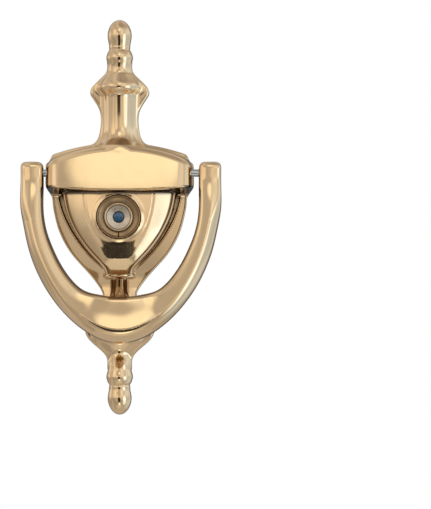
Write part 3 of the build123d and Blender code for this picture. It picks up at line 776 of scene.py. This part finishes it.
def turn(outline, x=0.0, z=0.0, round_by=0.12, segments=96, shape=None, thread=None, along_x=False):
    """Vertices and faces of an outline turned about a line along Y (or X).

    The outline holds (radius, along) points: open if it starts on the axis, else a
    closed ring. A thread is (radius, from, to, pitch, depth), and shape changes the
    radius at a point of the surface.
    """
    closed = outline[0][0] > 0
    profile = soften(outline, round_by, closed)
    if thread:
        crest, start, end, pitch, depth = thread
        steps = []
        for (r0, y0), (r1, y1) in zip(profile, profile[1:] + profile[:1]):
            steps.append((r0, y0))
            if abs(r0 - crest) < 0.01 and abs(r1 - crest) < 0.01:
                cuts = int(abs(y1 - y0) / pitch * 6)
                steps += [(crest, y0 + (y1 - y0) * i / cuts) for i in range(1, cuts)]
        profile = steps
    radius, along = np.array(profile).T
    angle = np.arange(segments) * 2 * math.pi / segments
    radius = np.tile(radius[:, None], segments)
    along = np.tile(along[:, None], segments)
    turned = np.tile(angle, (len(profile), 1))
    if thread:
        phase = (along / pitch + turned / (2 * math.pi)) % 1
        fade = np.clip(np.minimum(along - start, end - along) / pitch, 0, 1)
        cut_in = depth * fade * np.abs(2 * phase - 1)
        radius = np.where(np.abs(radius - crest) < 0.01, radius - cut_in, radius)
    if shape:
        radius = shape(radius, along, turned)
    u, v = radius * np.cos(turned), radius * np.sin(turned)
    points = np.stack((along, u, v) if along_x else (u, along, v), axis=-1).reshape(-1, 3)
    points += (0, x, z) if along_x else (x, 0, z)
    faces = []
    rows = len(profile)
    for i in range(rows if closed else rows - 1):
        j = (i + 1) % rows
        for k in range(segments):
            m = (k + 1) % segments
            faces.append((i * segments + k, i * segments + m, j * segments + m, j * segments + k))
    return points, faces


def assemble(name, *parts):
    """One mesh from several (points, faces) shapes, its poles closed up."""
    mesh = bmesh.new()
    for points, faces in parts:
        corners = [mesh.verts.new(p * MM) for p in points]
        for face in faces:
            mesh.faces.new([corners[i] for i in face])
    bmesh.ops.remove_doubles(mesh, verts=mesh.verts, dist=1e-7)
    bmesh.ops.dissolve_degenerate(mesh, edges=mesh.edges, dist=1e-8)
    bmesh.ops.recalc_face_normals(mesh, faces=mesh.faces)
    data = bpy.data.meshes.new(name)
    mesh.to_mesh(data)
    mesh.free()
    data.shade_smooth()
    data.set_sharp_from_angle(angle=math.radians(35))
    return link(name, data)


def subtract(piece, cutter):
    """Cut one object out of a piece, and throw the cutter away."""
    step = piece.modifiers.new("cut", "BOOLEAN")
    step.object = cutter
    step.operation = "DIFFERENCE"
    step.solver = "EXACT"
    graph = bpy.context.evaluated_depsgraph_get()
    solid = bpy.data.meshes.new_from_object(piece.evaluated_get(graph))
    piece.modifiers.clear()
    piece.data = solid
    bpy.data.objects.remove(cutter)


def slit(piece, low, high):
    """Cut the block between two corners, in millimetres, out of a piece."""
    mesh = bmesh.new()
    bmesh.ops.create_cube(mesh, size=1)
    for corner in mesh.verts:
        corner.co = [MM * (h if c > 0 else l) for c, l, h in zip(corner.co, low, high)]
    block = bpy.data.meshes.new("cutter")
    mesh.to_mesh(block)
    mesh.free()
    subtract(piece, link("cutter", block))


def hexagon(across_flats, reach):
    """Shape the wall of a socket, at radii under reach, into a hexagon."""
    def shape(radius, along, angle):
        flat = across_flats / 2 / np.cos((angle % (math.pi / 3)) - math.pi / 6)
        return np.where((radius < reach) & (radius > 0.1), flat * radius / (across_flats / 2), radius)
    return shape


def bolt(z, thread_start):
    """Slotted pan-head bolt, its thread cut up to a plain shank."""
    top = BOLTS[1].y
    crest, head = 2.25, BOLT_HEAD_RADIUS
    outline = (
        (0, thread_start), (1.9, thread_start), (crest, thread_start + 0.5), (crest, 0.9), (2.5, 1.2),
        (2.5, DOOR_BACK - 0.7), (2.3, DOOR_BACK - 0.5), (2.3, WASHER_BACK), (head - 0.1, WASHER_BACK),
        (head, WASHER_BACK + 0.2), (head, top - 2.2), (head - 0.3, top - 1.4), (3.2, top - 0.5),
        (1.8, top - 0.08), (0, top),
    )
    thread = (crest, thread_start + 0.4, 0.9, 0.8, 0.3)
    return turn(outline, z=z, segments=64, round_by=0.2, thread=thread)


def fixing_bolts():
    """Both bolts, their heads slotted."""
    piece = assemble("fixing_bolts_turned", bolt(UPPER_BOLT_Z, -6.5), bolt(ANVIL_Z, -5.0))
    for z in (UPPER_BOLT_Z, ANVIL_Z):
        slit(piece, (-6, BOLTS[1].y - 1.4, z - 0.6), (6, BOLTS[1].y + 1, z + 0.6))
    dress(piece, "fixing_bolts", "root")


def washer(name, node, inner, outer, centres, round_by=0.15):
    low, high = cad(node)
    rings = [
        turn(((inner, low.y), (outer, low.y), (outer, high.y), (inner, high.y)), z=z, round_by=round_by)
        for z in centres
    ]
    dress(assemble(name, *rings), node, "root")


def lens(node, front, back):
    """Polished glass disc; front and back are how far each face domes out."""
    low, high = cad(node)
    radius = high.x
    edge_front, edge_back = low.y + max(front, 0), high.y - max(back, 0)
    steps = np.linspace(0, 1, 9)
    profile = [(radius * t, edge_front - front * (1 - t * t)) for t in steps]
    profile += [(radius * t, edge_back + back * (1 - t * t)) for t in steps[::-1]]
    dress(assemble(node + "_ground", turn(profile, round_by=0.05)), node, "root")


def behind_head(*points):
    """Outline points given as (radius, distance behind the front of the viewer's head)."""
    return [(radius, HEAD_FRONT + behind) for radius, behind in points]


def viewer_barrel():
    """Threaded tube with a dished head, notched below the bezel."""
    head_back = 1.9
    outline = behind_head(
        (5.7, 0.95), (6.3, 1.0), (7.4, 0.7), (7.95, 0.3), (8.15, 0.02), (8.4, 0),
        (HEAD_RADIUS, 0.25), (HEAD_RADIUS, head_back), (6.8, head_back),
    )
    crest, bore = 7.0, 6.05
    outline += [
        (6.8, 0.5), (crest, 0.7), (crest, BARREL_END - 0.3), (6.7, BARREL_END), (bore, BARREL_END),
        (bore, 5.5), (4.8, 5.5), (4.8, 4.0), (5.65, 4.0),
    ]
    outline += behind_head((5.65, 2.0), (5.7, 2.0))
    thread = (crest, 1.5, BARREL_END - 0.2, 1.0, 0.35)
    piece = assemble("viewer_barrel_turned", turn(outline, round_by=0.14, segments=160, thread=thread))
    slit(piece, (-0.28, HEAD_FRONT - 1, -8.05), (0.28, HEAD_FRONT + 1.5, -5.75))
    dress(piece, "viewer_barrel", "root")
    piece.data.materials[0] = FINISHES["dished_brass"]


def viewer_optics():
    """Bezel, stepped cone and lenses."""
    bezel = turn(
        behind_head(
            (4.8, 0.15), (4.95, -0.1), (5.2, -0.28), (5.45, -0.18), (5.65, 0.1), (5.65, 2.0), (4.8, 2.0),
        ),
        round_by=0.12,
    )
    dress(assemble("viewer_bezel_turned", bezel), "viewer_bezel", "root")
    steps, mouth, mouth_behind = 5, 4.74, 0.42
    slope = [(mouth, mouth_behind)]
    for i in range(1, steps + 1):
        radius, behind = mouth - 2.42 * i / steps, mouth_behind + 1.58 * i / steps
        slope += [(radius + 0.06, behind - 0.27), (radius, behind)]
    back = 2.4
    cone = behind_head(*slope, (2.45, back), (5.6, back), (5.6, back - 0.35), (mouth, back - 0.35))
    dress(assemble("viewer_cone_turned", turn(cone, round_by=0.06)), "viewer_cone", "root")
    lens("front_lens", 1.0, -0.6)
    lens("middle_lens", -0.5, -0.5)
    lens("rear_lens", 0.6, 0.6)


def viewer_eyepiece():
    """Threaded inner tube with a knurled flange, two driver slots and the rivet's hole."""
    def knurl(radius, along, angle):
        rim = (radius > FLANGE_RADIUS - 0.3) & (along > FLANGE_FRONT + 0.35) & (along < FLANGE_BACK - 0.9)
        return np.where(rim, radius - 0.12 * (0.5 - 0.5 * np.cos(72 * angle)), radius)

    crest, plain, bore = 6.0, 5.95, 4.2
    outline = (
        (5.0, 8.0), (5.7, 8.0), (crest, 8.4), (crest, 36.2), (plain, 36.3), (plain, FLANGE_FRONT),
        (10.7, FLANGE_FRONT), (FLANGE_RADIUS, FLANGE_FRONT + 0.3), (FLANGE_RADIUS, FLANGE_FRONT + 0.4),
        (FLANGE_RADIUS, FLANGE_BACK - 0.95), (FLANGE_RADIUS, FLANGE_BACK - 0.8), (10.2, FLANGE_BACK),
        (8.0, FLANGE_BACK - 0.02), (4.9, FLANGE_BACK), (bore, FLANGE_BACK - 0.5), (bore, DOOR_BACK + 0.1),
        (5.0, DOOR_BACK + 0.1),
    )
    thread = (crest, 8.8, 36.0, 0.75, 0.22)
    tube = turn(outline, round_by=0.1, segments=288, shape=knurl, thread=thread)
    piece = assemble("viewer_eyepiece_turned", tube)
    for left, right in ((6.6, 10.6), (-10.6, -6.6)):
        slit(piece, (left, FLANGE_BACK - 0.8, -2.8), (right, FLANGE_BACK + 1, -1.2))
    start, end, radius = FLANGE_FRONT + 0.3, FLANGE_BACK + 1, 1.0
    hole = turn(((0, start), (radius, start), (radius, end), (0, end)), z=PIVOT_Z, segments=32)
    subtract(piece, assemble("cutter", hole))
    dress(piece, "viewer_eyepiece", "root")


def cover_rivet():
    low, high = cad("cover_rivet")
    shank = 0.99
    head = high.y - 0.8
    outline = (
        (0, low.y), (0.85, low.y), (shank, low.y + 0.2), (shank, head), (1.9, head), (1.85, head + 0.3),
        (1.3, head + 0.66), (0.5, head + 0.79), (0, head + 0.8),
    )
    piece = assemble("cover_rivet_domed", turn(outline, z=PIVOT_Z, round_by=0.1, segments=48))
    dress(piece, "cover_rivet", "root")


def viewer_cover(x, y, z):
    """Flap with a hanger and a rounded finger tab."""
    front, thickness = COVER[0].y, 1.0
    disc_radius, tab_radius = COVER[1].x, 1.4
    from_axis = np.sqrt(x ** 2 + z ** 2)
    eye = np.sqrt(x ** 2 + (z - PIVOT_Z) ** 2)
    neck = np.maximum(np.abs(x) - PIVOT_RADIUS, np.maximum(-z, z - PIVOT_Z))
    outline = soft_min(soft_min(from_axis - disc_radius, neck, 2.0), eye - PIVOT_RADIUS, 0.3)
    dish = 0.12 * np.clip(1 - (from_axis / 5.2) ** 2, 0, 1)
    sheet = np.abs(y - front - thickness / 2) - thickness / 2 + np.where(y > front + 0.5, dish, 0)
    tab = soft_max(np.sqrt(x ** 2 + (z + disc_radius - 2.0) ** 2) - tab_radius, y - COVER[1].y, 0.6)
    body = soft_min(soft_max(outline, sheet, 0.3), np.maximum(tab, front + 0.5 - y), 0.3)
    return soft_max(body, 1.05 - eye, 0.15)


def axle_rod():
    start, end, chamfer = ROD[0].x, ROD[1].x, 0.3
    outline = (
        (0, start), (1.2, start), (AXLE_RADIUS, start + chamfer),
        (AXLE_RADIUS, end - chamfer), (1.2, end), (0, end),
    )
    rod = turn(outline, x=-AXLE_DEPTH, z=AXLE_Z, segments=64, along_x=True)
    dress(assemble("axle_rod_drawn", rod), "axle_rod", "handle")


def axle_grub_screws():
    """The pair of hexagon-socket screws that hold the axle in the ears."""
    low, high = cad("axle_grub_screws")
    radius, socket = 1.5, 0.75
    outline = (
        (0, low.y), (1.1, low.y), (radius, low.y + 0.35), (radius, high.y - 0.2), (1.3, high.y),
        (0.78, high.y), (socket, high.y - 0.1), (socket, high.y - 1.1), (0, high.y - 1.3),
    )
    thread = (radius, low.y + 0.4, high.y, 0.5, 0.18)
    shape = hexagon(2 * socket, 0.8)
    pair = [
        turn(outline, x=x, z=AXLE_Z, round_by=0.06, segments=48, shape=shape, thread=thread)
        for x in (low.x + radius, high.x - radius)
    ]
    dress(assemble("axle_grub_screws_cut", *pair), "axle_grub_screws", "handle")


def stud(name, node, body, outline):
    """A turned stud at the height where handle and plate meet."""
    dress(assemble(name, turn(outline, z=ANVIL_Z, round_by=0.4)), node, body)


def striking_studs():
    shank = 2.98
    face, back = STRIKER[1].y, STRIKER[0].y
    seat = face - 1.95
    stud("striker_button_turned", "striker_button", "handle", (
        (0, back), (2.6, back), (shank, back + 0.4), (shank, seat), (4.5, seat), (4.6, seat + 0.2),
        (4.6, face - 0.75), (4.1, face - 0.25), (2.6, face - 0.04), (0, face),
    ))
    front, end = ANVIL[0].y, ANVIL[1].y
    stud("anvil_stud_turned", "anvil_stud", "root", (
        (0, front), (2.4, front + 0.04), (3.9, front + 0.3), (4.4, front + 0.8), (4.4, front + 2.5),
        (shank, front + 2.5), (shank, end - 0.3), (2.6, end), (0, end),
    ))


axle_rod()
axle_grub_screws()
striking_studs()
viewer_barrel()
viewer_optics()
viewer_eyepiece()
washer("eyepiece_washer_cut", "eyepiece_washer", 7.2, 9.8, (0,), 0.08)
washer("cover_washer_cut", "cover_spring_washer", 1.05, 2.1, (PIVOT_Z,), 0.05)
cover_rivet()
mesh_node("viewer_cover", viewer_cover, "cover", 0.2)
fixing_bolts()
washer("bolt_washers_pressed", "bolt_washers", 2.7, 5.5, (UPPER_BOLT_Z, ANVIL_Z))


# Inside the viewer, these keep their CAD surface and only get a finish.
for node in ("front_spacer", "middle_spacer", "rear_lens_ring"):
    kept = frame["nodes"][node]
    kept.data.materials.clear()
    kept.data.materials.append(FINISHES[SLOTS[node]])


# --- Stage, light and camera ------------------------------------------------------------
VIEW_X, VIEW_Z = 38.2, -14.8
DISTANCE = 875.0            # of the camera, straight out from the door
VIEW_HEIGHT = 203.6         # what the picture takes in at the door
SENSOR = 36.0
FLOOR_HALF, FLOOR_LEVEL = 0.7, -1.2     # metres

FIGURE_SIDE = 0.044         # x over y of the line that a face square to the door mirrors to the camera
AMBIENT = (0.60, 0.59, 0.60)
SOFTBOXES = (               # towards, full and outer angles in degrees, added light
    ((1.0, 0.0, -0.12), 30, 50, (0.15, 0.28, 0.45)),
    ((0.74, -0.67, -0.05), 9, 18, (0.60, 0.80, 1.05)),
    ((0.74, -0.63, -0.35), 10, 19, (0.55, 0.72, 0.90)),
    ((-0.72, -0.62, 0.33), 10, 20, (0.35, 0.32, 0.25)),
    ((0.0, -0.82, 0.573), 6, 12, (0.60, 0.62, 0.52)),
    ((0.38, -0.92, 0.05), 10, 22, (0.22, 0.20, 0.16)),
    ((0.0, -0.85, -0.53), 4, 9, (0.80, 0.86, 0.76)),
    ((-0.38, -0.91, 0.16), 6, 12, (0.50, 0.45, 0.35)),
    ((0.42, -0.80, 0.50), 8, 22, (0.22, 0.26, 0.30)),
    ((-0.72, -0.72, 0.05), 3, 10, (0.18, 0.18, 0.18)),
    ((-1.0, 0.25, 0.1), 5, 18, (0.25, 0.25, 0.28)),
    ((0.0, -0.66, -0.75), 13, 28, (0.18, 0.19, 0.17)),
)
SHADES = (                  # towards, full and outer angles, share of light lost
    ((0.0, 1.0, 0.0), 20.0, 55.0, 0.70),
    ((0.2, -0.2, 1.0), 10.0, 30.0, 0.35),
)


def studio():
    """A light tent, brightest and coolest from the right, with a dark figure standing in front."""
    world = bpy.data.worlds.new("light_tent")
    world.use_nodes = True
    s = Shade(world.node_tree)
    direction = s.node("ShaderNodeTexCoord", "Generated")
    x, y, z = s.split(direction)

    def lobe(towards, inner, outer):
        aim = s.vector("DOT_PRODUCT", direction, Vector(towards).normalized(), out="Value")
        return s.ramp(aim, math.cos(math.radians(outer)), math.cos(math.radians(inner)))

    folds = s.noise(direction, 2.2, 1.0)
    light = s.vector("MULTIPLY", s.ramp(folds, 0.3, 0.7, 0.8, 1.15), AMBIENT)
    light = s.vector("MULTIPLY", light, s.ramp(z, -0.1, 0.2, 0.8, 1.0))
    for towards, inner, outer, colour in SOFTBOXES:
        light = s.vector("ADD", light, s.vector("MULTIPLY", lobe(towards, inner, outer), colour))
    for towards, inner, outer, lost in SHADES:
        left = s.math("SUBTRACT", 1.0, s.product(lobe(towards, inner, outer), lost))
        light = s.vector("MULTIPLY", light, left)

    aside = s.math("ABSOLUTE", s.math("SUBTRACT", s.math("DIVIDE", x, y), FIGURE_SIDE))
    aside = s.math("ADD", aside, s.math("GREATER_THAN", y, 0.0))
    figure = s.product(
        s.ramp(aside, 0.16, 0.24, 1.0, 0.0), s.ramp(z, -0.5, -0.36), s.ramp(z, 0.02, 0.07, 0.92, 0.0),
    )
    light = s.vector("MULTIPLY", light, s.math("SUBTRACT", 1.0, figure))
    seen = s.node("ShaderNodeLightPath", "Is Camera Ray")
    back = s.node("ShaderNodeBackground", 0, Color=s.mix(seen, light, (1, 1, 1, 1)))
    out = s.tree.nodes.new("ShaderNodeOutputWorld")
    s.put(out.inputs["Surface"], back)
    bpy.context.scene.world = world


def pale_floor(s):
    return {"Base_Color": (0.9, 0.9, 0.9, 1), "Roughness": 0.9}


def stage_and_camera():
    corners = [(x * FLOOR_HALF, y * FLOOR_HALF, FLOOR_LEVEL) for x, y in ((-1, -1), (1, -1), (1, 1), (-1, 1))]
    floor = bpy.data.meshes.new("floor")
    floor.from_pydata(corners, [], [(0, 1, 2, 3)])
    floor = link("floor", floor)
    floor.data.materials.append(finish("pale_floor", pale_floor))
    data = bpy.data.cameras.new("camera")
    camera = bpy.data.objects.new("camera", data)
    bpy.context.scene.collection.objects.link(camera)
    data.sensor_width = SENSOR
    data.lens = SENSOR * DISTANCE / VIEW_HEIGHT
    camera.location = Vector((VIEW_X, -DISTANCE, VIEW_Z)) * MM
    camera.rotation_euler = (math.radians(90), 0, 0)
    bpy.context.scene.camera = camera
    bpy.context.scene.view_settings.view_transform = "Standard"


studio()
stage_and_camera()
